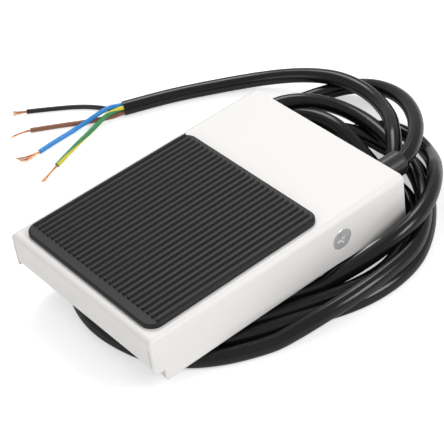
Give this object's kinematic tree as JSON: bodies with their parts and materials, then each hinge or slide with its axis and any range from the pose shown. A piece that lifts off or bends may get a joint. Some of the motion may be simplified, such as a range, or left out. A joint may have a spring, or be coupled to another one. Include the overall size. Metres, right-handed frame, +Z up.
{
  "type": "foot switch",
  "caption": "Low metal foot switch: hinged treadle with a ribbed rubber tread over a folded steel tray, snap-action switch inside, black cable coiled beneath with stripped cores at its end",
  "frame": {"origin": "On the floor under the middle of the tray; the switch lies on one layer of its own coiled cable, so its mat is 6.8 mm above the origin", "axes": "+Z up, +Y to the rear, where the cable leaves the tray, +X to the right seen from the user's side at -Y"},
  "size_m": [0.2188, 0.1879, 0.0354],
  "materials": {
    "white_paint": "smooth satin powder coat, warm white",
    "tray_paint": "smooth satin powder coat, warm white",
    "tread_rubber": "moulded rubber, low sheen, ribbed from front to rear",
    "boot_rubber": "moulded rubber, slight sheen",
    "cable_jacket": "black flexible cable sheath, satin",
    "core_black": "core insulation, satin",
    "core_blue": "core insulation, satin",
    "core_brown": "core insulation, satin",
    "core_green_yellow": "core insulation, green with a yellow stripe",
    "copper": "bare fine copper strands",
    "zinc": "bright zinc plating",
    "spring_steel": "bright spring steel",
    "nylon": "natural nylon, matt",
    "switch_plastic": "glass-filled moulding, matt",
    "brass": "plain brass"
  },
  "bodies": {
    "base": {"base_mat": "tread_rubber", "base_tray": "tray_paint", "bracket_rivets": "zinc", "cable_boot": "boot_rubber", "cable_coil": "cable_jacket", "cable_loop": "cable_jacket", "cable_tail": "cable_jacket", "cable_tie": "nylon", "core_black": "core_black", "core_blue": "core_blue", "core_brown": "core_brown", "core_earth": "core_green_yellow", "earth_screw": "zinc", "earth_tag": "brass", "earth_washer": "zinc", "inner_cable": "cable_jacket", "lead_black": "core_black", "lead_blue": "core_blue", "lead_brown": "core_brown", "lead_earth": "core_green_yellow", "lever_pin": "spring_steel", "lug_closed": "brass", "lug_common": "brass", "lug_open": "brass", "pivot_nut_left": "zinc", "pivot_nut_right": "zinc", "pivot_screw_left": "zinc", "pivot_screw_right": "zinc", "rest_stop": "tread_rubber", "return_spring": "spring_steel", "spring_post": "nylon", "strands_black": "copper", "strands_blue": "copper", "strands_brown": "copper", "strands_earth": "copper", "switch_bracket": "zinc", "switch_case": "switch_plastic", "switch_nuts": "zinc", "switch_screws": "zinc"},
    "pedal": {"pedal_cover": "white_paint", "tread_pad": "tread_rubber", "striker": "nylon", "spring_cap": "nylon"},
    "lever": {"switch_lever": "spring_steel"},
    "plunger": {"switch_plunger": "nylon"}
  },
  "joints": [
    {"name": "pedal_hinge", "type": "hinge", "parent": "base", "child": "pedal", "pos_m": [0, 0.0297, 0.0216], "axis": [1, 0, 0], "range_deg": [0, 4], "stiffness_Nm_per_rad": 13.8, "springref_deg": -1.72, "deforming": ["return_spring"]},
    {"name": "lever_hinge", "type": "hinge", "parent": "base", "child": "lever", "pos_m": [0.008, 0.015, 0.0256], "axis": [1, 0, 0], "range_deg": [0, 7.5]},
    {"name": "plunger_slide", "type": "slide", "parent": "base", "child": "plunger", "axis": [0, 0, -1], "range_m": [0, 0.0007]}
  ],
  "couplings": [
    {"joint": "lever_hinge", "follows": "pedal_hinge", "ratio": 1.8167},
    {"joint": "plunger_slide", "follows": "pedal_hinge", "m_per_rad": 0.0090833}
  ]
}
